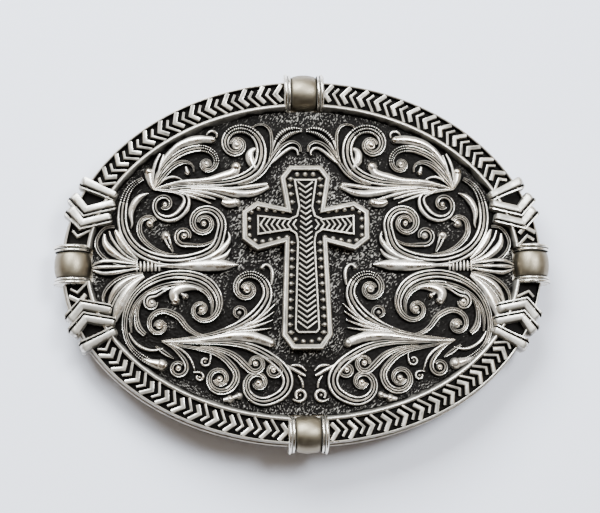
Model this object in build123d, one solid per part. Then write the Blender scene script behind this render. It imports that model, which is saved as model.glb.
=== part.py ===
from build123d import *

# An oval dress belt buckle for a 38 mm strap, built up in layers: a bent back plate, a face plate
# inside a two-part border, a standing cross pinned on the face, a bead between two collars at each
# end of both axes, and a bar with two chevrons either side of each end bead. Behind it, a wire belt
# loop turns in two riveted brackets and a leaning peg takes the strap's free end.
#
# The buckle lies face up. X runs along the belt, Y up the face and Z out of the face. Z = 0 is the
# surface that the brackets, the peg and the loop rest on. The layers are bent about an axis that is
# parallel to Y, and their heights are levels: distances out from the back plate's back surface.
# All sizes are in millimetres.

import math
import os

# Bend and levels
BEND_RADIUS = 220.0
BACK_Z = 8.3
PLATE_TOP = 1.5
FACE_TOP = 2.5
BORDER_TOP = 4.2
CLASP_TOP = 5.3
CROSS_FLOOR = 4.3
CROSS_TOP = 5.2
INLAY_TOP = 4.9
SEAT_LEVEL = 2.0
WRAP_LEVEL = 0.8

# Outlines: half lengths along X and half heights along Y
PLATE_HALVES = (47.0, 35.5)
BORDER_STEP = 0.4
BORDER_WIDTH = 4.4
BEZEL_WIDTH = 1.3

# Beads and their collars, turned about an axis that follows the border
BEAD_INSET = 2.3
BEAD_RADIUS = 3.55
BEAD_END_RADIUS = 3.1
BEAD_LENGTH = 5.0
COLLAR_RADIUS = 3.75
COLLAR_THICKNESS = 1.4
COLLAR_GROOVE = 0.35

# Pins and rivets
PIN_RADIUS = 0.9
PIN_REACH = 3.2
HEAD_RADIUS = 1.7
HEAD_HEIGHT = 0.6
CROSS_PIN_YS = (8.0, -12.0)

# Clasp ridges at the upper left; the other three corners mirror them
RIDGE_WIDTH = 1.35
CLASP_BAR = ((-43.1, 16.1), (-36.4, 12.9))
OUTER_CHEVRON = ((-44.9, 13.4), (-42.3, 10.3), (-36.7, 11.4))
INNER_CHEVRON = ((-45.5, 10.8), (-43.0, 7.8), (-37.4, 8.9))

# Right half of the cross, from the head down, and its frame
CROSS_HALF = (
    (3.05, 18.45), (4.87, 16.1), (3.9, 10.3), (9.4, 11.45), (12.25, 9.6),
    (12.25, 4.1), (9.4, 1.9), (4.15, 3.3), (4.85, -14.45), (2.9, -17.2),
)
CROSS_FRAME = 1.05
INLAY_HALF = (
    (2.3, 15.8), (1.45, 10.35), (1.9, 8.7), (3.2, 8.1), (9.4, 8.85),
    (9.4, 4.85), (3.2, 5.75), (2.1, 5.05), (1.8, 3.6), (2.45, -13.3), (1.8, -14.1),
)

# Belt loop of round wire, and the two brackets that it turns in
WIRE_RADIUS = 1.5
LOOP_HALF_WIDTH = 21.5
LOOP_REACH = 17.5
LOOP_CORNER = 4.0
ELBOW = 2.6
TRUNNION_END = 15.4
PIVOT_X = -18.0
PIVOT_Z = 2.8
TRUNNION_CLEARANCE = 0.06
EAR_OUTER = 18.6
EAR_THICKNESS = 2.4
EAR_RADIUS = 2.8
FOOT_LENGTH = 8.4
FOOT_WIDTH = 7.0
FOOT_THICKNESS = 1.0
RIVET_RADIUS = 0.8
RIVET_SPREAD = 2.5

# Peg for the strap's holes
PEG_X = 19.0
PEG_LEAN = 35.0
PEG_RADIUS = 2.0
NECK_RADIUS = 2.2
NECK_LENGTH = 3.35
BOSS_RADIUS = 4.4
BOSS_THICKNESS = 1.2
TAIL_RADIUS = 1.6

AXIS_Z = BACK_Z - BEND_RADIUS
CORE_LENGTH = 120.0
PRISM_LOW = -2.0
PRISM_HEIGHT = 30.0


def bent_core(level):
    """Everything inside the bend up to a level, as one solid cylinder."""
    return Pos(0, 0, AXIS_Z) * Rot(X=90) * Cylinder(BEND_RADIUS + level, CORE_LENGTH)


def prism(outline):
    """A flat outline run through the whole height of the buckle."""
    return extrude(Pos(0, 0, PRISM_LOW) * outline, PRISM_HEIGHT)


def bent_layer(outline, low, high):
    """An outline given thickness between two levels."""
    return (prism(outline) & bent_core(high)) - bent_core(low)


def oval(inset):
    """The buckle's oval, drawn in from the back plate's edge."""
    half_length, half_height = PLATE_HALVES
    return Ellipse(half_length - inset, half_height - inset)


def at_back(x, y):
    """A place on the back surface with its local Z along the levels."""
    angle = math.asin(x / BEND_RADIUS)
    z = AXIS_Z + BEND_RADIUS * math.cos(angle)
    return Pos(x, y, z) * Rot(Y=math.degrees(angle))


def rod(x, y, radius, low, high):
    """A round rod between two levels."""
    middle = (low + high) / 2
    return at_back(x, y) * Pos(0, 0, middle) * Cylinder(radius, high - low)


def low_dome(x, y, radius, level, height):
    """A round head that stands inwards from a level by its height."""
    ball = (radius**2 + height**2) / (2 * height)
    centre = level - height + ball
    slab = Pos(0, 0, level) * Cylinder(radius * 1.01, 2 * height)
    cap = Pos(0, 0, centre) * Sphere(ball) & slab
    return at_back(x, y) * cap & bent_core(level)


def mirrored_outline(half):
    """A closed outline from its right half, listed from the top down."""
    left = [(-x, y) for x, y in reversed(half)]
    return make_face(Polyline(*half, *left, close=True))


def ridge_outline(points, width):
    """A line of points given a width, with square ends."""
    return trace(Polyline(*points), line_width=width)


def flip_to(corner, shape):
    """A shape from the upper left corner, mirrored to the named one."""
    if "right" in corner:
        shape = mirror(shape, about=Plane.YZ)
    if "lower" in corner:
        shape = mirror(shape, about=Plane.XZ)
    return shape


END_X = (PLATE_HALVES[0] - BEAD_INSET) * BEND_RADIUS / (BEND_RADIUS + SEAT_LEVEL)
END_Y = PLATE_HALVES[1] - BEAD_INSET
SIDES = {"top": (0.0, END_Y), "bottom": (0.0, -END_Y), "left": (-END_X, 0.0), "right": (END_X, 0.0)}
CORNERS = ("upper_left", "upper_right", "lower_left", "lower_right")
BRACKETS = {"upper": 1, "lower": -1}


def turned_at(side, shape):
    """A turned shape whose axis is Z, laid along the border at one side's bead seat."""
    x, y = SIDES[side]
    seat = at_back(x, y) * Pos(0, 0, SEAT_LEVEL)
    along = Rot(Y=90) if x == 0 else Rot(X=90)
    return seat * along * shape


def wrapped(shape):
    """A turned shape cut to sit in its notch and wrap over the back plate's edge."""
    return shape - bent_core(WRAP_LEVEL) - bent_layer(oval(0), 0, SEAT_LEVEL)


def bead(side):
    """A barrel bead."""
    half = BEAD_LENGTH / 2
    top = ThreePointArc((BEAD_END_RADIUS, half), (BEAD_RADIUS, 0), (BEAD_END_RADIUS, -half))
    rest = Polyline((BEAD_END_RADIUS, -half), (0, -half), (0, half), (BEAD_END_RADIUS, half))
    profile = Plane.XZ * make_face(top + rest)
    x, y = SIDES[side]
    body = wrapped(turned_at(side, revolve(profile, Axis.Z)))
    return body - rod(x, y, PIN_RADIUS, 0, PIN_REACH)


def collars(side):
    """The two grooved collars either side of a bead, by the names of their ends."""
    disc = Cylinder(COLLAR_RADIUS, COLLAR_THICKNESS) - Torus(COLLAR_RADIUS, COLLAR_GROOVE)
    shift = (BEAD_LENGTH + COLLAR_THICKNESS) / 2
    ends = ("right", "left") if SIDES[side][0] == 0 else ("lower", "upper")
    return {
        end: wrapped(turned_at(side, Pos(0, 0, sign * shift) * disc))
        for end, sign in zip(ends, (1, -1))
    }


def bead_notches():
    """The gaps cut through the border and bezel for the beads and collars."""
    length = BEAD_LENGTH + 2 * COLLAR_THICKNESS
    across = 4 * BEAD_RADIUS
    cut = None
    for x, y in SIDES.values():
        outline = Rectangle(length, across) if x == 0 else Rectangle(across, length)
        block = prism(Pos(x, y) * outline)
        cut = block if cut is None else cut + block
    return cut - bent_core(SEAT_LEVEL)


def pins(places, reach):
    """Straight pins from the back, each with a low head."""
    made = []
    for x, y in places:
        pin = rod(x, y, PIN_RADIUS, -HEAD_HEIGHT / 2, reach)
        made.append(pin + low_dome(x, y, HEAD_RADIUS, 0, HEAD_HEIGHT))
    return made


def pin_holes(places, high):
    """Holes for pins, from the back surface up."""
    cut = None
    for x, y in places:
        hole = rod(x, y, PIN_RADIUS, -1, high)
        cut = hole if cut is None else cut + hole
    return cut


def rivet_places(sign):
    """Where one bracket's two rivets stand."""
    y = sign * (EAR_OUTER - EAR_THICKNESS - FOOT_WIDTH / 2)
    return [(PIVOT_X - RIVET_SPREAD, y), (PIVOT_X + RIVET_SPREAD, y)]


def rivets():
    """All four bracket rivets: a shank through foot and plate, and a low head under the foot."""
    made = []
    for sign in BRACKETS.values():
        for x, y in rivet_places(sign):
            shank = rod(x, y, RIVET_RADIUS, -FOOT_THICKNESS - HEAD_HEIGHT / 2, PLATE_TOP)
            head = low_dome(x, y, 2 * RIVET_RADIUS, -FOOT_THICKNESS, HEAD_HEIGHT)
            made.append(shank + head)
    return made


def back_plate():
    """The bent oval that carries everything."""
    plate = bent_layer(oval(0), 0, PLATE_TOP)
    plate -= pin_holes(SIDES.values(), PLATE_TOP + 1)
    plate -= pin_holes([(0, y) for y in CROSS_PIN_YS], PLATE_TOP + 1)
    plate -= rod(PEG_X, 0, TAIL_RADIUS, -1, PLATE_TOP + 1)
    for sign in BRACKETS.values():
        for x, y in rivet_places(sign):
            plate -= rod(x, y, RIVET_RADIUS, -1, PLATE_TOP + 1)
    return plate


def face_plate():
    """The oval plate that carries the scrollwork."""
    plate = bent_layer(oval(BORDER_STEP + BORDER_WIDTH + BEZEL_WIDTH), PLATE_TOP, FACE_TOP)
    return plate - pin_holes([(0, y) for y in CROSS_PIN_YS], FACE_TOP + 1)


def border_ring():
    """The patterned outer band, notched for the beads."""
    band = oval(BORDER_STEP) - oval(BORDER_STEP + BORDER_WIDTH)
    ring = bent_layer(band, PLATE_TOP, BORDER_TOP) - bead_notches()
    return ring - pin_holes(SIDES.values(), BORDER_TOP)


def inner_bezel():
    """The plain inner band, notched for the beads."""
    outer = BORDER_STEP + BORDER_WIDTH
    band = oval(outer) - oval(outer + BEZEL_WIDTH)
    return bent_layer(band, PLATE_TOP, BORDER_TOP) - bead_notches()


def clasp_ridge(points, corner):
    """One straight or V-shaped ridge across the border, its outer end hooked over the rim."""
    ridge = bent_layer(ridge_outline(points, RIDGE_WIDTH), PLATE_TOP, CLASP_TOP)
    return flip_to(corner, ridge - bent_layer(oval(BORDER_STEP), 0, BORDER_TOP))


def cross_body():
    """The cross with its raised frame and two blind pin holes."""
    outline = mirrored_outline(CROSS_HALF)
    floor = offset(outline, -CROSS_FRAME)
    body = bent_layer(outline, FACE_TOP, CROSS_TOP) - bent_layer(floor, CROSS_FLOOR, CROSS_TOP + 1)
    return body - pin_holes([(0, y) for y in CROSS_PIN_YS], PIN_REACH)


def cross_inlay():
    """The slim inner cross that stands on the body's floor."""
    return bent_layer(mirrored_outline(INLAY_HALF), CROSS_FLOOR, INLAY_TOP)


def belt_loop():
    """The wire loop, dropped about its pivot until its bar rests on the surface."""
    bar_x = -LOOP_REACH
    points = [
        (0, TRUNNION_END), (0, LOOP_HALF_WIDTH), (bar_x, LOOP_HALF_WIDTH),
        (bar_x, -LOOP_HALF_WIDTH), (0, -LOOP_HALF_WIDTH), (0, -TRUNNION_END),
    ]
    path = FilletPolyline(*points, radius=(ELBOW, LOOP_CORNER, LOOP_CORNER, ELBOW))
    start = Plane(origin=(0, TRUNNION_END, 0), z_dir=(0, 1, 0))
    wire = sweep(start * Circle(WIRE_RADIUS), path=path)
    drop = math.degrees(math.asin((PIVOT_Z - WIRE_RADIUS) / LOOP_REACH))
    return Pos(PIVOT_X, 0, PIVOT_Z) * Rot(Y=-drop) * wire


def loop_bracket(sign):
    """An ear with the trunnion's hole, on a foot that follows the back plate."""
    top = BACK_Z + 1
    half_foot = FOOT_LENGTH / 2
    inner = EAR_OUTER - EAR_THICKNESS
    web = Polyline(
        (PIVOT_X - half_foot, top), (PIVOT_X + half_foot, top),
        (PIVOT_X + EAR_RADIUS, PIVOT_Z), (PIVOT_X - EAR_RADIUS, PIVOT_Z), close=True,
    )
    ear = make_face(web) + Pos(PIVOT_X, PIVOT_Z) * Circle(EAR_RADIUS)
    ear -= Pos(PIVOT_X, PIVOT_Z) * Circle(WIRE_RADIUS + TRUNNION_CLEARANCE)
    plate = Pos(0, EAR_OUTER, 0) * extrude(Plane.XZ * ear, EAR_THICKNESS)
    foot_y = inner - FOOT_WIDTH / 2
    foot = Pos(PIVOT_X, foot_y) * Rectangle(FOOT_LENGTH, FOOT_WIDTH)
    bracket = (plate & bent_core(0)) + bent_layer(foot, -FOOT_THICKNESS, 0)
    for x, y in rivet_places(1):
        bracket -= rod(x, y, RIVET_RADIUS, -FOOT_THICKNESS - 1, 1)
    return bracket if sign > 0 else mirror(bracket, about=Plane.XZ)


def belt_peg():
    """The boss, its tail through the back plate, and the leaning peg on a stouter neck."""
    boss = rod(PEG_X, 0, BOSS_RADIUS, -BOSS_THICKNESS, 0.5) & bent_core(0)
    tail = rod(PEG_X, 0, TAIL_RADIUS, -BOSS_THICKNESS, PLATE_TOP) & bent_core(PLATE_TOP)
    root_z = AXIS_Z + math.sqrt((BEND_RADIUS - BOSS_THICKNESS / 2) ** 2 - PEG_X**2)
    length = (root_z - PEG_RADIUS) / math.cos(math.radians(PEG_LEAN))
    neck = Pos(0, 0, -NECK_LENGTH / 2) * Cylinder(NECK_RADIUS, NECK_LENGTH)
    shank = Pos(0, 0, -(NECK_LENGTH + length) / 2) * Cylinder(PEG_RADIUS, length - NECK_LENGTH)
    tip = Pos(0, 0, -length) * Sphere(PEG_RADIUS)
    peg = Pos(PEG_X, 0, root_z) * Rot(Y=-PEG_LEAN) * (neck + shank + tip)
    return boss + tail + (peg & bent_core(-BOSS_THICKNESS / 2))


def write(name, shape):
    """One STEP file for one node; a list of solids becomes a group."""
    if isinstance(shape, (list, tuple)):
        shape = Compound(children=[part for whole in shape for part in whole.solids()])
    export_step(shape, f"parts/{name}.step")


def main():
    """Build every piece and write it."""
    os.makedirs("parts", exist_ok=True)
    write("back_plate", back_plate())
    write("face_plate", face_plate())
    write("border_ring", border_ring())
    write("inner_bezel", inner_bezel())
    write("cross_body", cross_body())
    write("cross_inlay", cross_inlay())
    write("cross_pins", pins([(0, y) for y in CROSS_PIN_YS], PIN_REACH))
    write("bead_pins", pins(SIDES.values(), PIN_REACH))
    for side in SIDES:
        write(f"bead_{side}", bead(side))
        for end, collar in collars(side).items():
            write(f"collar_{side}_{end}", collar)
    for corner in CORNERS:
        write(f"clasp_bar_{corner}", clasp_ridge(CLASP_BAR, corner))
        write(f"outer_chevron_{corner}", clasp_ridge(OUTER_CHEVRON, corner))
        write(f"inner_chevron_{corner}", clasp_ridge(INNER_CHEVRON, corner))
    write("belt_loop", belt_loop())
    for name, sign in BRACKETS.items():
        write(f"loop_bracket_{name}", loop_bracket(sign))
    write("bracket_rivets", rivets())
    write("belt_peg", belt_peg())


main()
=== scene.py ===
"""An oval western dress buckle in antique silver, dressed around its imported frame.

Lengths are in millimetres until a mesh is made, and then in metres. X runs along the belt, Y up the
face and Z out of it. A level is a distance out from the back plate's back surface, which is bent
about an axis parallel to Y.
"""

import logging
import math
from dataclasses import dataclass
from enum import Enum
from typing import Optional, Sequence

import bpy
import numpy as np
from mathutils import Matrix, Vector
from mathutils.geometry import tessellate_polygon


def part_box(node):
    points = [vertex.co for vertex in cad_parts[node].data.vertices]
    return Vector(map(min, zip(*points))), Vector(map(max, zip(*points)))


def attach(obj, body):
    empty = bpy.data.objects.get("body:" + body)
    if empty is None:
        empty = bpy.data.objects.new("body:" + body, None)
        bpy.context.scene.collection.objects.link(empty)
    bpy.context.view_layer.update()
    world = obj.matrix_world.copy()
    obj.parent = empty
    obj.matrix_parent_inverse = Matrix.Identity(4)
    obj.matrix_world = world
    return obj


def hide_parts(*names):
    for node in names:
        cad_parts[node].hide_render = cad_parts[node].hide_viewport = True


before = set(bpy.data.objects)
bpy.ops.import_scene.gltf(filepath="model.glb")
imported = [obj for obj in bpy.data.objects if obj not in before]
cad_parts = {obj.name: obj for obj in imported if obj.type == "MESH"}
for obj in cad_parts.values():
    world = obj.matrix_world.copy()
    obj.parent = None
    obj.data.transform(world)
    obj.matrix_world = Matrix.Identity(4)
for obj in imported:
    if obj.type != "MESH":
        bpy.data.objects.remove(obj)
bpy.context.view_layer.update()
LOG = logging.getLogger("buckle")

MM = 0.001
Points = Sequence[tuple[float, float]]
Triple = tuple[float, float, float]


class Body(Enum):
    """The two bodies that pieces ride on."""

    BUCKLE = "buckle"
    LOOP = "strap_loop"


class Slot(Enum):
    """The record's material slots."""

    BACK = "back_silver"
    FACE = "face_silver"
    BORDER = "border_silver"
    BEZEL = "bezel_silver"
    BEAD = "bead_silver"
    COLLAR = "collar_silver"
    CLASP = "clasp_silver"
    CROSS = "cross_silver"
    INLAY = "inlay_silver"
    PIN = "pin_silver"
    HARDWARE = "hardware_silver"


# ---------------------------------------------------------------- geometry


@dataclass(frozen=True)
class Bend:
    """The bend along the belt: each level is a cylinder about one axis parallel to Y.

    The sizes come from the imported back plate: its box gives the ends' drop below the middle, and a
    chord of half length a with drop d lies on a circle of radius (a squared + d squared) / 2d.
    """

    thickness: float = 1.5

    @property
    def back(self) -> float:
        """Height of the back surface at the middle."""
        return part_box("back_plate")[1].z / MM - self.thickness

    @property
    def halves(self) -> tuple[float, float]:
        """Half length and half height of the back plate."""
        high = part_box("back_plate")[1]
        return high.x / MM, high.y / MM

    @property
    def radius(self) -> float:
        """Radius of the back surface."""
        drop = self.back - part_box("back_plate")[0].z / MM
        half = self.halves[0]
        return (half**2 + drop**2) / (2 * drop)


BACK = Bend().back
RADIUS = Bend().radius
HALF_X, HALF_Y = Bend().halves


def bent(x: np.ndarray, y: np.ndarray, level: np.ndarray) -> np.ndarray:
    """Points above plan places at a level.

    The height is the bend axis's height plus the root of (radius + level) squared - x squared.

    Args:
        x, y: Plan places.
        level: Level of each.

    Returns:
        Points with a last axis of three.
    """
    x, y, level = np.broadcast_arrays(x, y, level)
    return np.stack([x, y, BACK - RADIUS + np.sqrt((RADIUS + level) ** 2 - x**2)], axis=-1)


def added(name: str, data: bpy.types.ID) -> bpy.types.Object:
    """A new object, linked to the scene.

    Args:
        name: Its name.
        data: Its mesh, camera or light.

    Returns:
        The object.
    """
    made = bpy.data.objects.new(name, data)
    bpy.context.scene.collection.objects.link(made)
    return made


@dataclass
class Surface:
    """A closed surface: its points, its faces, and how bright each point is, from 0 to 1, as wear
    against tarnish and, on the bezel and the ground, painted shade.
    """

    points: np.ndarray
    quads: np.ndarray
    tris: np.ndarray
    crest: np.ndarray

    @staticmethod
    def joined(parts: Sequence["Surface"]) -> "Surface":
        """Several surfaces as one."""
        starts = np.cumsum([0] + [len(part.points) for part in parts[:-1]])
        return Surface(
            np.concatenate([part.points for part in parts]),
            np.concatenate([part.quads + start for part, start in zip(parts, starts)]),
            np.concatenate([part.tris + start for part, start in zip(parts, starts)]),
            np.concatenate([part.crest for part in parts]),
        )

    def mirrored(self, axis: int) -> "Surface":
        """The surface mirrored across the plane through the origin and normal to an axis."""
        points = self.points * np.where(np.arange(3) == axis, -1.0, 1.0)
        return Surface(points, self.quads[:, ::-1], self.tris[:, ::-1], self.crest)

    def piece(
        self,
        name: str,
        finish: "SilverFinish",
        slot: Slot,
        replaces: Sequence[str] = (),
        crease: float = 40.0,
        body: Body = Body.BUCKLE,
    ) -> bpy.types.Object:
        """Makes the surface a Blender object that rides on a body.

        Args:
            name: The piece's name.
            finish: Its material.
            slot: The record's slot for it; not used.
            replaces: The CAD nodes that it stands for.
            crease: Faces that meet at more degrees than this meet in a sharp edge.
            body: The body that it rides on.

        Returns:
            The object.
        """
        mesh = bpy.data.meshes.new(name)
        mesh.from_pydata((self.points * MM).tolist(), [], self.quads.tolist() + self.tris.tolist())
        mesh.polygons.foreach_set("use_smooth", np.ones(len(mesh.polygons), bool))
        mesh.set_sharp_from_angle(angle=math.radians(crease))
        crest = mesh.attributes.new("crest", "FLOAT", "POINT")
        crest.data.foreach_set("value", self.crest.astype(np.float32))
        mesh.materials.append(finish.material())
        made = added(name, mesh)
        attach(made, body.value)
        if replaces:
            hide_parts(*replaces)
        LOG.info("%s: %d points, %d faces", name, len(self.points), len(mesh.polygons))
        return made


def linked(count: int, around: int) -> tuple[np.ndarray, np.ndarray]:
    """The indices of points in rings, and the quads that link each ring to the next.

    Args:
        count: How many rings there are.
        around: How many points each has.

    Returns:
        The indices, as ring by place, and the quads.
    """
    index = np.arange(count * around).reshape(count, around)
    ahead = np.roll(index, -1, axis=1)
    quads = np.stack([index[:-1], index[1:], ahead[1:], ahead[:-1]], axis=-1)
    return index, quads.reshape(-1, 4)


def tube(rings: np.ndarray, crest: np.ndarray) -> Surface:
    """A closed surface through rings of points, with each end drawn in to its ring's middle.

    Args:
        rings: Points, as ring by place round the ring by three. Seen along the rings' order, each
            ring runs anticlockwise, so the faces point outwards.
        crest: Brightness, as ring by place.

    Returns:
        The surface.
    """
    index, quads = linked(*rings.shape[:2])
    ahead = np.roll(index, -1, axis=1)
    first, last = (np.full_like(index[0], index.size + end) for end in (0, 1))
    tris = np.concatenate(
        [np.stack([first, index[0], ahead[0]], -1), np.stack([last, ahead[-1], index[-1]], -1)]
    )
    points = np.concatenate([rings.reshape(-1, 3), rings[:1].mean(1), rings[-1:].mean(1)])
    crests = np.append(crest.ravel(), [crest[0].mean(), crest[-1].mean()])
    return Surface(points, quads, tris, crests)


def spline(knots: np.ndarray, samples: int) -> np.ndarray:
    """A natural cubic spline through knots, spaced evenly along its length.

    The second derivatives m are nought at both ends, and between them they solve
    h[i-1] m[i-1] + 2 (h[i-1] + h[i]) m[i] + h[i] m[i+1] = 6 times the change of slope at knot i,
    where h are the chords' lengths.

    Args:
        knots: Points, or one column of values spaced evenly.
        samples: How many points to return.

    Returns:
        The points.
    """
    knots = np.asarray(knots, float)
    chords = np.linalg.norm(np.diff(knots, axis=0), axis=1) if knots.shape[1] > 1 else 1.0
    chords = np.broadcast_to(chords, len(knots) - 1)
    at = np.append(0, np.cumsum(chords))
    slopes = np.diff(knots, axis=0) / chords[:, None]
    matrix = np.eye(len(knots))
    right = np.zeros_like(knots)
    inner = np.arange(1, len(knots) - 1)
    matrix[inner, inner - 1] = chords[:-1]
    matrix[inner, inner] = 2 * (chords[:-1] + chords[1:])
    matrix[inner, inner + 1] = chords[1:]
    right[inner] = 6 * np.diff(slopes, axis=0)
    bends = np.linalg.solve(matrix, right)

    def value(place: np.ndarray) -> np.ndarray:
        """The spline at places along the chords.

        Args:
            place: Lengths along the chords from the first knot.

        Returns:
            The points.
        """
        low = np.clip(np.searchsorted(at, place, side="right") - 1, 0, len(knots) - 2)
        h = chords[low][:, None]
        a = (at[low + 1] - place)[:, None]
        b = (place - at[low])[:, None]
        curve = (bends[low] * a**3 + bends[low + 1] * b**3) / (6 * h)
        line = (knots[low] / h - bends[low] * h / 6) * a
        return curve + line + (knots[low + 1] / h - bends[low + 1] * h / 6) * b

    dense = np.linspace(0, at[-1], 12 * samples)
    if knots.shape[1] == 1:
        return value(np.linspace(0, at[-1], samples))
    walked = np.append(0, np.cumsum(np.linalg.norm(np.diff(value(dense), axis=0), axis=1)))
    return value(np.interp(np.linspace(0, walked[-1], samples), walked, dense))


def sideways(path: np.ndarray, closed: bool = False) -> np.ndarray:
    """The leftward offset of each point of a path for a unit of width, mitred at its corners.

    At a point between unit normals m and n it is (m + n) / (1 + m.n).

    Args:
        path: Plan points.
        closed: Whether the last point is joined to the first.

    Returns:
        The offsets.
    """
    if closed:
        steps = np.roll(path, -1, axis=0) - path
        before = np.roll(steps, 1, axis=0)
    else:
        steps = np.diff(path, axis=0)
        before, steps = np.vstack([steps[:1], steps]), np.vstack([steps, steps[-1:]])
    m, n = (
        np.stack([-step[:, 1], step[:, 0]], 1) / np.linalg.norm(step, axis=1)[:, None]
        for step in (before, steps)
    )
    return (m + n) / (1 + (m * n).sum(1))[:, None]


@dataclass(frozen=True)
class Section:
    """A section carried along a path, from its right edge over the top to its left edge.

    Attributes:
        across: Places across, from -1 to 1 of the half width.
        rise: Heights, as shares of the whole height. Below nought means the buried underside.
        crest: Brightness of each.
    """

    across: np.ndarray
    rise: np.ndarray
    crest: np.ndarray

    @staticmethod
    def buried(
        across: np.ndarray, rise: np.ndarray, crest: np.ndarray, under: float = 0.0
    ) -> "Section":
        """A section with a buried underside added, whose brightness is given."""
        return Section(
            np.concatenate([[-1.06], across, [1.06]]),
            np.concatenate([[-1.0], rise, [-1.0]]),
            np.concatenate([[under], crest, [under]]),
        )

    @staticmethod
    def fluted(ridges: int, depth: float = 0.5) -> "Section":
        """A domed top cut into ridges by sharp valleys.

        The dome is 0.45 + 0.55 times the root of 1 - 0.98 across squared. The ridges are the size
        of a sine wave, which is nought at both edges and at each valley, where the depth is cut
        away.

        Args:
            ridges: How many ridges there are.
            depth: Depth of the valleys, as a share of the dome.

        Returns:
            The section.
        """
        across = np.linspace(-1, 1, 6 * ridges + 1)
        wave = np.abs(np.sin(np.pi * ridges * (across + 1) / 2))
        dome = 0.45 + 0.55 * np.sqrt(1 - 0.98 * across**2)
        return Section.buried(across, dome - depth * (1 - wave) * dome, wave**1.6)

    @staticmethod
    def rounded(samples: int = 9) -> "Section":
        """A plain half round top, bright everywhere but at its feet.

        Args:
            samples: How many points the top has.

        Returns:
            The section.
        """
        across = np.linspace(-1, 1, samples)
        dome = np.sqrt(1 - 0.9 * across**2)
        return Section.buried(across, dome, np.clip(1.6 * dome - 0.6, 0, 1))

    @staticmethod
    def grooved() -> "Section":
        """A broad ridge with a thin one beside it, across a groove on its right."""
        across = np.array([-1, -0.93, -0.74, -0.6, -0.5, -0.25, 0.25, 0.8, 1])
        rise = np.array([0.25, 0.8, 0.8, 0.3, 0.3, 0.95, 1, 0.88, 0.2])
        crest = np.array([0.5, 1.1, 0.9, 0, 0, 1, 0.72, 0.95, 0.5])
        return Section.buried(across, rise, crest, under=1.0)

    @staticmethod
    def flat_topped(shoulder: float = 0.62) -> "Section":
        """A flat top with sloping sides.

        Args:
            shoulder: Half width of the flat, as a share of the whole.

        Returns:
            The section.
        """
        across = np.array([-1, -shoulder, -0.5 * shoulder, 0, 0.5 * shoulder, shoulder, 1])
        rise = np.array([0.3, 0.94, 1, 1, 1, 0.94, 0.3])
        crest = np.array([0.05, 1.15, 0.8, 0.7, 0.8, 1.15, 0.05])
        return Section.buried(across, rise, crest)


def carried(
    path: np.ndarray,
    half_width: np.ndarray,
    height: np.ndarray,
    section: Section,
    base: float,
    sink: float = 0.3,
    shade: np.ndarray = np.ones(1),
) -> Surface:
    """A section carried along a plan path on the bend.

    Args:
        path: Plan points.
        half_width: Half width at each.
        height: Height above the base at each.
        section: The section.
        base: Level that the section stands on.
        sink: How far the underside is buried below the base.
        shade: What the section's brightness is multiplied by at each.

    Returns:
        The closed surface.
    """
    half_width = np.broadcast_to(half_width, len(path))
    height = np.broadcast_to(height, len(path))
    offset = sideways(path)[:, None] * (half_width[:, None] * section.across)[..., None]
    plan = path[:, None] + offset
    level = base + np.where(section.rise < 0, -sink, height[:, None] * section.rise)
    crest = np.broadcast_to(shade, len(path))[:, None] * section.crest
    return tube(bent(plan[..., 0], plan[..., 1], level), crest)


def dome(centre: tuple[float, float], radius: float, height: float, base: float) -> Surface:
    """A round bud or pearl: circles whose radius and height follow a quarter turn of an ellipse.

    Args:
        centre: Its plan place.
        radius: Its radius.
        height: Its height above the base.
        base: Level that it stands on.

    Returns:
        The closed surface.
    """
    rise = np.radians([-25, 0, 20, 40, 58, 74, 85])
    turn = np.radians(np.arange(0, -360, -18))
    x = centre[0] + radius * np.cos(rise)[:, None] * np.cos(turn)
    y = centre[1] + radius * np.cos(rise)[:, None] * np.sin(turn)
    crest = np.broadcast_to(np.clip(np.sin(rise) * 2.8, 0, 1)[:, None], x.shape)
    return tube(bent(x, y, base + height * np.sin(rise)[:, None]), crest)


# ---------------------------------------------------------------- finishes


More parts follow.
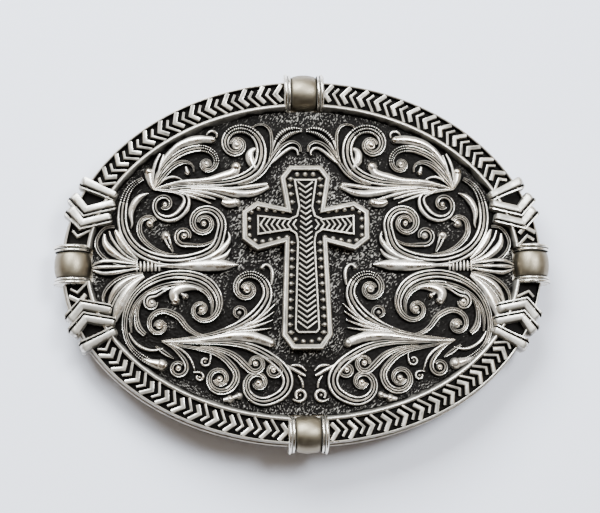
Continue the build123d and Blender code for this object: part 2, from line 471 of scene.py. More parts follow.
@dataclass(frozen=True)
class SilverFinish:
    """Antiqued silver: bright where it is worn, black where polish never reaches and where shade is
    painted in.

    Attributes:
        name: The material's name.
        bright: Colour of the worn metal.
        dark: Colour of the tarnish, and of the painted shade.
        polish: Roughness of the worn metal.
        dull: Roughness of the tarnish.
        wear: The crest values at which the tarnish ends and the worn metal begins.
        mottle: How much blotchy tarnish shifts those values.
        blotch: Blotches in a metre.
        grain: Depth of the fine surface grain, in millimetres.
        grains: Grains in a metre.
        bump: Strength of the grain.
        specular: Strength of the shine that is left on the tarnish.
        metal: How metallic the tarnish is, from 0 to 1.
        follows_crest: Whether the mesh has the crest attribute.
    """

    name: str
    bright: tuple[float, float, float] = (0.80, 0.79, 0.765)
    dark: tuple[float, float, float] = (0.0035, 0.0027, 0.0022)
    polish: float = 0.24
    dull: float = 0.58
    wear: tuple[float, float] = (0.22, 0.62)
    mottle: float = 0.25
    blotch: float = 420.0
    grain: float = 0.02
    grains: float = 5200.0
    bump: float = 0.6
    specular: float = 0.07
    metal: float = 0.35
    follows_crest: bool = True

    def material(self) -> bpy.types.Material:
        """The Blender material, made once and then shared."""
        found = bpy.data.materials.get(self.name)
        return found or self._made()

    def _made(self) -> bpy.types.Material:
        """Makes the material's node tree."""
        material = bpy.data.materials.new(self.name)
        material.use_nodes = True
        tree = material.node_tree
        nodes, join = tree.nodes, tree.links.new
        shader = nodes["Principled BSDF"]
        place = nodes.new("ShaderNodeTexCoord").outputs["Object"]

        def noise(scale: float, detail: float) -> bpy.types.NodeSocket:
            """A noise texture's value on object coordinates.

            Args:
                scale: Blotches in a metre.
                detail: How many finer layers it has.

            Returns:
                The value's socket.
            """
            node = nodes.new("ShaderNodeTexNoise")
            node.inputs["Scale"].default_value = scale
            node.inputs["Detail"].default_value = detail
            join(place, node.inputs["Vector"])
            return node.outputs["Fac"]

        def spread(
            value: bpy.types.NodeSocket, before: tuple[float, float], after: tuple[float, float]
        ) -> bpy.types.NodeSocket:
            """A value moved from one range to another, and held inside it.

            Args:
                value: The value's socket.
                before, after: Ends of the ranges.

            Returns:
                The moved value's socket.
            """
            node = nodes.new("ShaderNodeMapRange")
            for place_in, number in zip((1, 2, 3, 4), (*before, *after)):
                node.inputs[place_in].default_value = number
            join(value, node.inputs[0])
            return node.outputs[0]

        def total(first: bpy.types.NodeSocket, last: bpy.types.NodeSocket) -> bpy.types.NodeSocket:
            """The sum of two values.

            Args:
                first, last: The values' sockets.

            Returns:
                The sum's socket.
            """
            node = nodes.new("ShaderNodeMath")
            node.operation = "ADD"
            join(first, node.inputs[0])
            join(last, node.inputs[1])
            return node.outputs[0]

        blotches = noise(self.blotch, 4.0)
        if self.follows_crest:
            crest = nodes.new("ShaderNodeAttribute")
            crest.attribute_name = "crest"
            shift = spread(blotches, (0.3, 0.7), (-self.mottle, self.mottle))
            worn = spread(total(crest.outputs["Fac"], shift), self.wear, (0, 1))
        else:
            worn = spread(blotches, (0.5 - self.mottle, 0.5), (1 - 2 * self.mottle, 1))

        colour = nodes.new("ShaderNodeMix")
        colour.data_type = "RGBA"
        join(worn, colour.inputs[0])
        colour.inputs[6].default_value = (*self.dark, 1)
        colour.inputs[7].default_value = (*self.bright, 1)
        join(colour.outputs[2], shader.inputs["Base Color"])
        join(spread(worn, (0, 1), (self.metal, 1)), shader.inputs["Metallic"])
        shader.inputs["Specular IOR Level"].default_value = self.specular

        smudges = spread(noise(self.blotch * 2.3, 3.0), (0.35, 0.7), (-0.04, 0.08))
        rough = total(spread(worn, (0, 1), (self.dull, self.polish)), smudges)
        join(rough, shader.inputs["Roughness"])

        bump = nodes.new("ShaderNodeBump")
        bump.inputs["Strength"].default_value = self.bump
        bump.inputs["Distance"].default_value = self.grain * MM
        join(noise(self.grains, 2.0), bump.inputs["Height"])
        join(bump.outputs["Normal"], shader.inputs["Normal"])
        return material


RELIEF = SilverFinish(
    "antique_relief", wear=(0.42, 1.0), mottle=0.2, bright=(0.92, 0.85, 0.765), polish=0.22
)
GROUND = SilverFinish(
    "punched_ground", bright=(0.78, 0.72, 0.65), wear=(0.68, 1.95), dull=0.5, mottle=0.06,
    blotch=900, grain=0.06, grains=3600,
)
BORDER = SilverFinish(
    "antique_border", wear=(0.45, 1.22), mottle=0.2, bright=(0.80, 0.735, 0.645)
)
# The bezel's bright lip is wear, and its dark wall under the lip is painted shade.
BEZEL = SilverFinish(
    "worn_bezel", wear=(0.1, 1.05), mottle=0.14, polish=0.3, bright=(0.74, 0.69, 0.62)
)
BEADS = SilverFinish(
    "warm_bead", bright=(0.24, 0.205, 0.15), wear=(-0.1, 0.5), mottle=0.1, polish=0.42
)
COLLARS = SilverFinish(
    "worn_collar", bright=(0.86, 0.81, 0.72), wear=(0.35, 0.8), mottle=0.1, polish=0.22
)
CLASPS = SilverFinish(
    "worn_clasp", bright=(0.74, 0.695, 0.625), wear=(0.25, 1.05), mottle=0.2, polish=0.27
)
CROSS = SilverFinish(
    "antique_cross", wear=(0.36, 1.15), mottle=0.16, polish=0.3, bright=(0.56, 0.51, 0.44)
)
PLATE = SilverFinish(
    "cast_plate", bright=(0.44, 0.395, 0.33), mottle=0.16, polish=0.34, grain=0.05,
    follows_crest=False,
)
STEEL = SilverFinish(
    "nickel_hardware", bright=(0.66, 0.64, 0.61), mottle=0.1, polish=0.25, grain=0.012,
    follows_crest=False,
)


# ---------------------------------------------------------------- scrollwork


@dataclass(frozen=True)
class Volute:
    """A coil that a stem runs into.

    The radius is eye + (radius - eye) e^(-shrink times the angle turned).

    Attributes:
        centre: Middle of the coil.
        radius: Radius where the stem comes in.
        angle: Angle there, in degrees from +X.
        turns: Turns to the eye, positive anticlockwise.
        shrink: How fast the coil closes.
        eye: Radius that it closes towards.
    """

    centre: tuple[float, float]
    radius: float
    angle: float
    turns: float
    shrink: float = 0.3
    eye: float = 0.6

    def points(self) -> np.ndarray:
        """Points along the coil, a twelfth of a turn apart."""
        turned = np.linspace(0, 2 * np.pi * abs(self.turns), int(abs(self.turns) * 12) + 2)
        radius = self.eye + (self.radius - self.eye) * np.exp(-self.shrink * turned)
        angle = math.radians(self.angle) + np.sign(self.turns) * turned
        return np.array(self.centre) + radius[:, None] * np.stack([np.cos(angle), np.sin(angle)], 1)


WIDENED = 1.08  # What every stem's half width is multiplied by.
THINNEST = 0.06  # The least half width.
LOW, RISE = 0.62, 0.7  # A stem's height is LOW plus RISE times the root of its half width.
POINTED = 0.15  # The half width under which the height falls in step with it.
STEP, HATCH_STEP = 0.27, 0.105  # Lengths between the points along plain and hatched stems.
CUT_DEPTH, CUT_SHADE = 0.12, 0.75  # Shares of height and brightness lost in a hatching cut.
BUD_RISE = 0.75  # A bud's height is BUD_RISE times one more than its radius.


@dataclass(frozen=True)
class Stem:
    """One fluted stem, leaf or tendril of the scrollwork.

    Attributes:
        route: Plan points from its root to its tip, or to its volute.
        widths: Half widths, spaced evenly from root to tip.
        ridges: How many ridges it is cut into.
        volute: The coil at its tip.
        bud: Radius of the round bud at its tip, or at its coil's eye.
        hatched: Shares of its length between which fine cuts cross it.
    """

    route: Points
    widths: Sequence[float]
    ridges: int = 3
    volute: Optional[Volute] = None
    bud: float = 0.0
    hatched: tuple[float, float] = (0.0, 0.0)

    def path(self) -> np.ndarray:
        """Its middle line, in even steps that are shorter if it is hatched."""
        knots = np.array(self.route, float)
        if self.volute:
            knots = np.vstack([knots, self.volute.points()])
        length = np.linalg.norm(np.diff(knots, axis=0), axis=1).sum()
        return spline(knots, max(12, int(length / (HATCH_STEP if any(self.hatched) else STEP))))

    def surfaces(self, base: float, shift: tuple[float, float] = (0, 0)) -> list[Surface]:
        """The stem, and its bud if it has one.

        Args:
            base: Level that they stand on.
            shift: What is added to their plan places.

        Returns:
            One surface or two.
        """
        path = self.path() + shift
        samples = len(path)
        half = WIDENED * spline(np.array(self.widths)[:, None], samples)[:, 0]
        half = np.maximum(half, THINNEST)
        section = Section.rounded() if self.ridges < 2 else Section.fluted(self.ridges)
        height = (LOW + RISE * np.sqrt(half)) * np.minimum(1, half / POINTED)
        share = np.linspace(0, 1, samples)
        inside = (share > self.hatched[0]) & (share < self.hatched[1])
        cut = inside * (np.arange(samples) % 4 < 2)
        height = height * (1 - CUT_DEPTH * cut)
        made = [carried(path, half, height, section, base, shade=1 - CUT_SHADE * cut)]
        if self.bud:
            centre = self.volute.centre if self.volute else self.route[-1]
            centre = (centre[0] + shift[0], centre[1] + shift[1])
            made.append(dome(centre, self.bud, BUD_RISE + BUD_RISE * self.bud, base))
        return made


def between(first: Points, last: Points, count: int, widths: Sequence[float]) -> list[Stem]:
    """A fan of single ridges that change evenly from a first route to a last one.

    Args:
        first, last: Routes with as many points.
        count: How many ridges there are.
        widths: Half widths of each.

    Returns:
        The ridges.
    """
    a, b = np.array(first, float), np.array(last, float)
    shares = np.linspace(0, 1, count)
    return [Stem([tuple(p) for p in a + (b - a) * share], widths, 1) for share in shares]


UPPER_NODE = (-29.2, 15.2)
LOWER_NODE = (-28.2, -15.0)

UPPER_SCROLLS = (
    Stem(
        (UPPER_NODE, (-25, 15.9), (-20, 16.1), (-15.5, 16.3), (-11.8, 17.2), (-9.3, 19.0)),
        (0.2, 0.4, 0.6, 0.95, 1.15, 1.0, 0.85, 0.65, 0.4), 3,
        Volute((-13.1, 23.6), 5.2, -25, 1.55, 0.33, 0.85), 1.0, (0.62, 0.76),
    ),
    Stem(
        ((-9.2, 18.6), (-10.2, 19.9), (-10.6, 21.2), (-10.2, 22.4), (-9.5, 22.8)),
        (0.3, 0.7, 0.95, 0.8, 0.4), 1,
    ),
    Stem(
        (UPPER_NODE, (-28, 18), (-26.2, 20.4), (-24, 22), (-21.5, 22.9)),
        (0.2, 0.5, 0.7, 0.75, 0.6, 0.45, 0.3), 3, Volute((-18.9, 19.9), 3.0, 95, -1.35, 0.42, 0.6),
        0.75, (0.52, 0.72),
    ),
    Stem(
        (UPPER_NODE, (-28.4, 18.2), (-26.9, 21), (-24.6, 23.4), (-22, 24.5), (-19.5, 24.8),
         (-17.8, 24.7)),
        (0.15, 0.4, 0.6, 0.8, 0.95, 0.8), 1, bud=0.8,
    ),
    Stem(
        ((-18.9, 25.6), (-18.4, 26.2), (-17.6, 26.35), (-16.9, 25.8), (-17, 25.1)),
        (0.15, 0.28, 0.3, 0.25, 0.15), 1,
    ),
    Stem(
        (UPPER_NODE, (-27.8, 17), (-26.2, 18.9), (-24.4, 20.1), (-22.6, 20.3), (-21.5, 19.4),
         (-21.4, 18.4)),
        (0.15, 0.5, 0.65, 0.65, 0.55, 0.3, 0.15), 3,
    ),
    Stem(((-22.9, 19.4), (-22.6, 18.3)), (0.3, 0.5), 1, bud=0.62),
    Stem(((-28.4, 15.8), (-26.9, 17.1), (-25.2, 17.5), (-23.5, 16.8)), (0.12, 0.28, 0.3, 0.12), 1),
    Stem((UPPER_NODE, (-29.9, 17), (-30.1, 18.6)), (0.25, 0.75, 0.95), 1, bud=1.0),
    Stem((UPPER_NODE, (-28.7, 18.3), (-28.2, 20.2), (-27.5, 21.9)), (0.3, 0.75, 1.05, 0.75), 2),
    Stem(
        (UPPER_NODE, (-24, 16.5), (-18, 16.9), (-15.2, 17.6), (-13.6, 18.3), (-13.2, 19.3)),
        (0.12, 0.25, 0.45, 0.6, 0.95, 1.0), 1, bud=1.15,
    ),
    Stem(
        ((-26, 15.2), (-18, 15.3), (-14, 15.0), (-10.5, 15.4), (-7.3, 15.8)),
        (0.15, 0.3, 0.45, 0.45), 1, bud=0.45,
    ),
    Stem(
        ((-22, 15.2), (-16, 14.6), (-12.5, 14.0), (-9.5, 14.2), (-7.1, 15.2)),
        (0.15, 0.5, 0.85, 0.8, 0.4), 1, bud=0.5,
    ),
    Stem((UPPER_NODE, (-23, 14.5), (-19.5, 13.7), (-17.3, 13.0)), (0.15, 0.3, 0.38, 0.2), 1),
    Stem(((-26, 14.8), (-21.5, 13.5), (-18.2, 12.2)), (0.15, 0.35, 0.15), 1),
    Stem(((-24, 15), (-19, 14.3), (-16, 13.4), (-14.2, 12.8)), (0.15, 0.3, 0.38, 0.3), 1),
    Stem(((-16.0, 12.5), (-14.9, 12.1), (-13.2, 12.3)), (0.5, 0.9, 0.9), 1, bud=0.9),
    Stem(
        (UPPER_NODE, (-27, 14.9), (-24.4, 14.4), (-22.9, 13.3)),
        (0.3, 0.45, 0.7, 1.1, 0.9, 0.6, 0.5, 0.42, 0.3), 2,
        Volute((-27.0, 12.2), 4.25, 8, -1.4, 0.3, 0.6), 0.62,
    ),
    Stem(
        ((-31.2, 17.3), (-33.4, 15.8), (-34.7, 13.4), (-35.2, 10.5), (-34.9, 7.5), (-33.7, 5.0),
         (-31.7, 3.0), (-29, 1.7), (-26, 1.1), (-23, 1.2), (-20, 1.9), (-17.4, 3.5)),
        (0.4, 0.85, 1.05, 1.1, 1.2, 1.2, 1.15, 1.05, 0.85, 0.7, 0.55, 0.35), 3,
        Volute((-19.5, 8.3), 3.75, -30, 1.55, 0.2, 0.7), 0.7, (0.02, 0.11),
    ),
    Stem(
        ((-30.2, 14.4), (-31.6, 13.8), (-33, 12.2), (-33.5, 10), (-33.3, 8.3), (-33.5, 7.6)),
        (0.15, 0.6, 0.75, 0.65, 0.4, 0.12), 1,
    ),
    Stem(
        ((-24.6, 2.3), (-27, 2.6), (-29.2, 3.6), (-31, 5.2), (-31.9, 7)),
        (0.15, 0.35, 0.5, 0.6, 0.5, 0.5), 3, Volute((-29.9, 8.4), 2.0, 190, -0.45, 0.35, 0.5), 0.88,
    ),
    Stem(((-25.4, 2.8), (-26.2, 4.4), (-26.8, 6.0)), (0.2, 0.6, 0.85), 2, bud=1.0),
    Stem(
        ((-16.8, 5.6), (-18.4, 4.5), (-20.8, 4.0)),
        (0.15, 0.4, 0.55, 0.5, 0.35), 2, Volute((-23.3, 5.9), 1.85, -75, -0.85, 0.16, 0.5), 0.75,
    ),
    Stem(
        ((-24, 0.9), (-20, 1.2), (-17, 2.4), (-15.3, 4.0), (-14.6, 5.5), (-14.9, 6.7)),
        (0.15, 0.4, 0.65, 0.8, 0.6, 0.12), 1,
    ),
    Stem(((-20, 0.9), (-17, 1.3), (-15.2, 2.2), (-14.5, 3.2)), (0.2, 0.5, 0.6, 0.15), 1),
    Stem(
        ((-32.3, 0.5), (-35, 0.6), (-37.5, 1.3), (-39.5, 2.9), (-40.2, 4.8), (-39.6, 6.6),
         (-38.2, 7.9), (-36.7, 8.0)),
        (0.15, 0.32, 0.42, 0.42, 0.4, 0.35), 2,
    ),
    Stem(
        ((-32.3, 0.9), (-35, 1.7), (-37.2, 3.2), (-38.5, 5.0), (-38.6, 6.6)),
        (0.2, 0.5, 0.82, 0.8, 0.25), 1,
    ),
    Stem(
        ((-32.3, 1.2), (-34.4, 2.3), (-36.1, 4.1), (-37.2, 5.8), (-37.7, 7.2)),
        (0.15, 0.28, 0.32, 0.2), 1,
    ),
    Stem(((-32.2, 1.5), (-33.8, 3.0), (-35.3, 5.0), (-36.5, 7.3)), (0.2, 0.5, 0.8, 0.75, 0.35), 1),
    Stem(
        ((-13, 15.7), (-10.4, 16.4), (-8.2, 18), (-6.6, 20.2), (-5.2, 22.2), (-3.6, 23.7),
         (-2.1, 24.1), (-0.95, 23.4), (-0.75, 22.2)),
        (0.12, 0.35, 0.5, 0.5, 0.45, 0.4, 0.25), 2,
    ),
    Stem(
        ((-7, 19.4), (-5, 21.2), (-3.4, 22.5), (-2.1, 22.9), (-1.3, 22.2), (-1.3, 21.5)),
        (0.15, 0.35, 0.4, 0.35, 0.2), 1,
    ),
    Stem(
        ((-6.2, 21.8), (-5.3, 24), (-3.7, 25.7), (-1.9, 26.4), (-0.4, 26.4)),
        (0.2, 0.8, 1.15, 1.0, 0.4), 2, hatched=(0.3, 1),
    ),
    Stem(
        ((-7, 19.8), (-6.4, 22), (-6.3, 24.5), (-6.6, 26.4), (-7.7, 27.5), (-9.2, 27.5),
         (-10, 27.0)),
        (0.2, 0.35, 0.4, 0.35, 0.3, 0.15), 2,
    ),
)

LOWER_SCROLLS = (
    Stem(
        ((-27.8, -19.5), (-30, -19.1), (-32.3, -17.8), (-34.4, -15.5), (-35.3, -12.5),
         (-35.1, -9.5), (-33.8, -6.4), (-31.4, -4), (-28, -2.5), (-25, -2.1), (-22, -2.5),
         (-19.4, -3.7)),
        (0.6, 0.7, 0.5, 0.55, 0.6, 0.65, 0.8, 0.9, 0.95, 0.95, 0.8, 0.6, 0.5, 0.4, 0.3), 3,
        Volute((-20.7, -8.9), 4.3, 45, -1.5, 0.38, 0.65), 0.7, (0.03, 0.13),
    ),
    Stem(((-32.0, -18.2), (-30.0, -19.1), (-28.3, -19.5)), (0.2, 0.8, 1.15), 1, bud=1.25),
    Stem(
        ((-34.0, -13.2), (-34.1, -10.5), (-33.1, -7.7), (-31, -5.7), (-28, -4.5), (-25, -4.1),
         (-22, -4.4), (-19.7, -5.7), (-18.6, -7.8), (-18.8, -10)),
        (0.15, 0.4, 0.45, 0.6, 0.75, 0.7, 0.5, 0.15), 3,
    ),
    Stem(
        ((-31.8, -6.4), (-32.8, -8.4), (-33, -10.7), (-32.5, -12.5), (-31.4, -13.6)),
        (0.15, 0.4, 0.5, 0.7, 0.5), 3,
    ),
    Stem(
        ((-34.5, -13.2), (-33.4, -15), (-31.8, -16.2), (-29.8, -16.7), (-28, -16.3)),
        (0.15, 0.3, 0.35, 0.3, 0.15), 1,
    ),
    Stem(
        ((-23, -3.7), (-26, -4.3), (-28.4, -5.4)),
        (0.15, 0.4, 0.6, 0.65, 0.5, 0.35), 2, Volute((-30.1, -7.5), 1.5, 75, 0.8, 0.15, 0.4), 0.8,
    ),
    Stem(
        ((-19.8, -5.4), (-22.4, -4.7), (-24.5, -4.9), (-25.8, -5.8), (-25.6, -7.2)),
        (0.15, 0.5, 0.9, 1.15, 0.9), 1, bud=0.95,
    ),
    Stem(((-24.5, -5.9), (-23.7, -6.4)), (0.3, 0.4), 1, bud=0.65),
    Stem(
        ((-19, -14.3), (-21.5, -13.7), (-23.6, -12.2), (-24.9, -10.5)),
        (0.2, 0.5, 0.65, 0.6, 0.5, 0.4, 0.3), 3, Volute((-28.7, -12.0), 3.45, 42, 1.4, 0.35, 0.65),
        0.75,
    ),
    Stem(
        (LOWER_NODE, (-23, -14.5), (-18, -13.7), (-14, -12.4), (-11, -10.7), (-9.0, -8.6)),
        (0.2, 0.35, 0.5, 0.85, 1.2, 1.05, 0.8, 0.65, 0.5, 0.35), 3,
        Volute((-11.9, -5.2), 4.05, -15, 1.5, 0.25, 0.65), 0.85, (0.62, 0.74),
    ),
    Stem(
        ((-7.2, -4.4), (-7.0, -2.4), (-7.3, -1.1), (-8.2, -0.45), (-9.0, -1.0)),
        (0.2, 0.4, 0.42, 0.35, 0.35), 1, bud=0.48,
    ),
    Stem(
        ((-17, -13.2), (-14.2, -11.9), (-12.7, -10.7)),
        (0.12, 0.3, 0.35, 0.3), 2, Volute((-13.4, -9.7), 1.25, -25, 0.8, 0.1, 0.4), 0.45,
    ),
    *between(
        ((-17, -13.4), (-12, -11.9), (-8.8, -10.2), (-6.5, -8)),
        ((-17, -13.7), (-13, -13.3), (-10, -13.1), (-7.2, -12.7)),
        4,
        (0.1, 0.26, 0.3, 0.12),
    ),
    Stem(
        (LOWER_NODE, (-21, -14.9), (-15, -14.2), (-10.5, -14.5), (-7.4, -15.6)),
        (0.15, 0.35, 0.65, 1.1, 0.95), 1, bud=1.0,
    ),
    Stem(
        (LOWER_NODE, (-22, -15.3), (-16, -15.5), (-11, -16.5), (-7.6, -18.4), (-5.2, -20.6),
         (-4.3, -22.9), (-5.1, -25)),
        (0.2, 0.35, 0.5, 0.75, 1.05, 1.15, 1.05, 0.8, 0.55, 0.35), 3,
        Volute((-9.9, -23.2), 4.3, -45, -1.35, 0.34, 0.7), 0.8,
    ),
    Stem(
        ((-15, -15.8), (-11, -16.9), (-8, -18.3)),
        (0.12, 0.35, 0.5, 0.42, 0.35), 2, Volute((-7.0, -20.8), 1.7, 60, -0.9, 0.16, 0.4), 0.7,
    ),
    Stem(
        ((-21, -16.1), (-16.4, -17), (-13.9, -18.4), (-12.4, -19.9)),
        (0.15, 0.5, 0.75, 0.5, 0.3), 3, Volute((-10.4, -19.5), 1.75, -150, 0.95, 0.14, 0.5), 0.7,
    ),
    Stem(
        (LOWER_NODE, (-24, -16.0), (-20, -16.8), (-17, -18), (-15, -19.9)),
        (0.15, 0.35, 0.6, 0.75, 0.65, 0.5, 0.35), 3,
        Volute((-17.3, -22.3), 3.3, 12, -1.5, 0.2, 0.6), 0.75,
    ),
    Stem(
        (LOWER_NODE, (-26.2, -16.2), (-24.6, -17.8)),
        (0.15, 0.4, 0.5, 0.42, 0.3), 2, Volute((-25.1, -20.2), 1.65, 20, -0.95, 0.12, 0.5), 0.7,
    ),
    Stem(((-27, -15.4), (-24.3, -16.8), (-22.6, -18.8), (-21.9, -21)), (0.12, 0.25, 0.25, 0.1), 1),
    Stem(((-29.4, -15.9), (-27.7, -17.2), (-26, -18.3)), (0.2, 0.5, 0.15), 2),
    Stem(
        ((-19.0, -17.6), (-19.0, -18.6)),
        (0.15, 0.25, 0.2), 1, Volute((-20.0, -19.0), 0.95, 10, -0.9, 0.15, 0.3), 0.3,
    ),
    Stem(
        ((-22.2, -21.1), (-21.4, -21.0)),
        (0.15, 0.25, 0.2), 1, Volute((-21.1, -21.9), 0.85, 80, -0.8, 0.15, 0.3), 0.28,
    ),
    Stem(((-16.6, -26.4), (-15.3, -26.2)), (0.4, 0.7), 1, bud=0.85),
    Stem(((-14.8, -26.0), (-13.6, -25.6)), (0.4, 0.6), 1, bud=0.78),
    Stem(((-5.4, -19.4), (-3.2, -20.7), (-1, -21.9)), (0.12, 0.4, 0.3), 1),
    Stem(((-3.8, -19.9), (-1.8, -20.1), (-0.8, -21)), (0.12, 0.32, 0.15), 1),
    Stem(((-2.4, -21.8), (-1.6, -23), (-1.4, -24.2)), (0.12, 0.28, 0.2), 1),
    Stem(
        ((-3.4, -26.4), (-2.4, -26.8)),
        (0.2, 0.35, 0.3), 1, Volute((-2.0, -25.6), 1.15, -80, 0.85, 0.12, 0.4), 0.35,
    ),
    Stem(
        ((-31.8, -1.7), (-35.5, -2.3), (-38.2, -4.0), (-39.4, -6.2), (-39.3, -7.6)),
        (0.2, 0.35, 0.42, 0.4, 0.2), 2,
    ),
    Stem(
        ((-31.8, -2.0), (-34.8, -3.1), (-37.2, -5.2), (-38.4, -7.8)),
        (0.2, 0.55, 0.8, 0.65, 0.2), 1,
    ),
    Stem(((-31.7, -2.2), (-34.9, -4.1), (-37.0, -6.6), (-38.1, -9.2)), (0.2, 0.28, 0.3, 0.15), 1),
    Stem(
        ((-31.6, -2.4), (-33.8, -4.1), (-35.6, -6.6), (-36.7, -9.2), (-37.2, -11.0)),
        (0.3, 0.85, 1.2, 1.1, 0.5), 1,
    ),
)


@dataclass(frozen=True)
class Scrollwork:
    """The relief on the face, in quarters that mirror left to right.

    Attributes:
        ground: Level of the stippled ground.
        half_x, half_y: Half sizes of the ground's oval.
        cells: Cells of the ground's mesh along X and Y.
        stipple: Depth of the stipple.
        worn: Brightness of the ground's high points where it is bare, and how much of that is
        lost where the relief is crowded, as tarnish and as painted shade between the stems.
        crease: Faces of the relief that meet at more degrees than this meet in a sharp edge.
        depth: Thickness of the ground's plate.
        cell, reach: Size of the cells that crowding is counted in, and its blur's spread.
        spear_y: Height of the leaf spears on the face's level axis.
        neck: X of the first ring of a spear's neck, the X that they stop short of, and their pitch.
        ring: Half length of a ring.
        upper_shift, lower_shift: What is added to the places of the upper and lower stems.
    """

    ground: float = 2.5
    half_x: float = 41.0
    half_y: float = 29.5
    cells: tuple[int, int] = (360, 256)
    stipple: float = 0.16
    worn: tuple[float, float] = (1.25, 0.9)
    crease: float = 70.0
    depth: float = 0.8
    cell: float = 0.5
    reach: float = 1.5
    spear_y: float = -0.6
    neck: Triple = (-32.4, -28.0, 0.72)
    ring: float = 0.95
    upper_shift: tuple[float, float] = (0.0, -0.75)
    lower_shift: tuple[float, float] = (0.55, -0.15)

    def crowding(self, x: np.ndarray, y: np.ndarray) -> np.ndarray:
        """How crowded the relief is over each place, from 0 to 1.

        The stems' knots are counted in cells, and the counts are blurred along X and Y by a bell
        curve, as two matrix products.

        Args:
            x, y: Plan places.

        Returns:
            The crowding at each.
        """
        edge = np.arange(-HALF_X, HALF_X + self.cell, self.cell)
        knots = np.vstack([stem.path() for stem in (*UPPER_SCROLLS, *LOWER_SCROLLS)])
        counts = np.histogram2d(knots[:, 0], knots[:, 1], (edge, edge))[0] > 0
        bell = np.exp(-((edge[:-1, None] - edge[:-1]) ** 2) / (2 * self.reach**2))
        blurred = bell @ (counts + counts[::-1]) @ bell
        column, row = (
            np.clip(((place + HALF_X) / self.cell).astype(int), 0, len(edge) - 2)
            for place in (x, y)
        )
        return np.clip(blurred[column, row] / np.percentile(blurred, 97), 0, 1)

    def stippled_ground(self) -> Surface:
        """The oval ground, punched all over.

        A square (u, v) goes to the oval by x = half_x u root(1 - v squared / 2) and y the same way
        round, and each inner point is sunk by a random share of the stipple.
        """
        sides = (np.linspace(-1, 1, cells + 1) for cells in self.cells)
        u, v = np.meshgrid(*sides, indexing="ij")
        x, y = self.half_x * u * np.sqrt(1 - v**2 / 2), self.half_y * v * np.sqrt(1 - u**2 / 2)
        punched = np.random.default_rng(11).random(x.shape)
        top = bent(x, y, self.ground - self.stipple * punched)
        index = np.arange(top[..., 0].size).reshape(x.shape)
        corners = [index[:-1, :-1], index[1:, :-1], index[1:, 1:], index[:-1, 1:]]
        quads = np.stack(corners, -1).reshape(-1, 4)
        rim = np.concatenate([index[:-1, 0], index[-1, :-1], index[:0:-1, -1], index[0, :0:-1]])
        flat = top.reshape(-1, 3)
        under = np.vstack([flat[rim] - [0, 0, self.depth], bent(0, 0, self.ground - self.depth)])
        low = len(flat) + np.arange(len(rim))
        skirt = np.stack([rim, low, np.roll(low, -1), np.roll(rim, -1)], -1)
        middle = np.full(len(rim), len(flat) + len(rim))
        tris = np.stack([middle, np.roll(low, -1), low], -1)
        # The ground's high points are dimmed where the relief is crowded: tarnish that polish
        # misses, and painted shade between the stems.
        bare, lost = self.worn
        crest = (1 - punched) * (bare - lost * self.crowding(x, y))
        crest = np.append(crest.ravel(), np.zeros(len(rim) + 1))
        return Surface(np.vstack([flat, under]), np.vstack([quads, skirt]), tris, crest)

    def spear(self) -> Surface:
        """The long leaf spear on the level axis: a fluted bulb, ringed neck and smooth blade."""
        y = self.spear_y
        bulb = [(x, y) for x in (-41, -38, -35, -32)]
        blade = [(x, y) for x in (-28.5, -24, -18, -13)]
        stems = [
            Stem(bulb, (0.6, 1.6, 1.65, 1.35, 0.95, 0.6), 3),
            Stem(blade, (0.35, 0.5, 0.8, 1.2, 1.4, 1.1, 0.15), 1),
        ]
        for x in np.arange(*self.neck):
            ring = [(x, y - self.ring), (x, y), (x, y + self.ring)]
            stems.append(Stem(ring, (0.2, 0.32, 0.2), 1))
        return Surface.joined([part for stem in stems for part in stem.surfaces(self.ground)])

    def build(self) -> None:
        """Makes the ground and the relief."""
        self.stippled_ground().piece("face_ground", GROUND, Slot.FACE, ["face_plate"], 80)
        rows = (
            ("upper", UPPER_SCROLLS, self.upper_shift),
            ("lower", LOWER_SCROLLS, self.lower_shift),
        )
        for name, stems, (right, up) in rows:
            for side, shift in (("left", (right, up)), ("right", (-right, up))):
                parts = [part for stem in stems for part in stem.surfaces(self.ground, shift)]
                half = Surface.joined(parts)
                half = half.mirrored(0) if side == "right" else half
                half.piece(f"{name}_{side}_scrolls", RELIEF, Slot.FACE, crease=self.crease)
        spear = self.spear()
        spear.piece("left_spear", RELIEF, Slot.FACE, crease=self.crease)
        spear.mirrored(0).piece("right_spear", RELIEF, Slot.FACE, crease=self.crease)


# ---------------------------------------------------------------- border


class Quarter(Enum):
    """The quarters of the oval, by which axes the top right one is mirrored across."""

    UPPER_RIGHT = ()
    UPPER_LEFT = (0,)
    LOWER_LEFT = (0, 1)
    LOWER_RIGHT = (1,)

    @property
    def turned(self) -> bool:
        """Whether its mirrors add up to a turn, so that it runs the same way round."""
        return len(self.value) != 1

    def place(self, surface: Surface) -> Surface:
        """A top right surface, mirrored into this quarter."""
        for axis in self.value:
            surface = surface.mirrored(axis)
        return surface


def cornered(path: np.ndarray, cuts: int) -> np.ndarray:
    """A line of straight legs, each cut into equal parts.

    Args:
        path: The legs' ends.
        cuts: How many parts each leg is cut into.

    Returns:
        The ends of the parts.
    """
    at = np.arange(len(path))
    fine = np.linspace(0, len(path) - 1, cuts * (len(path) - 1) + 1)
    return np.stack([np.interp(fine, at, path[:, axis]) for axis in (0, 1)], 1)


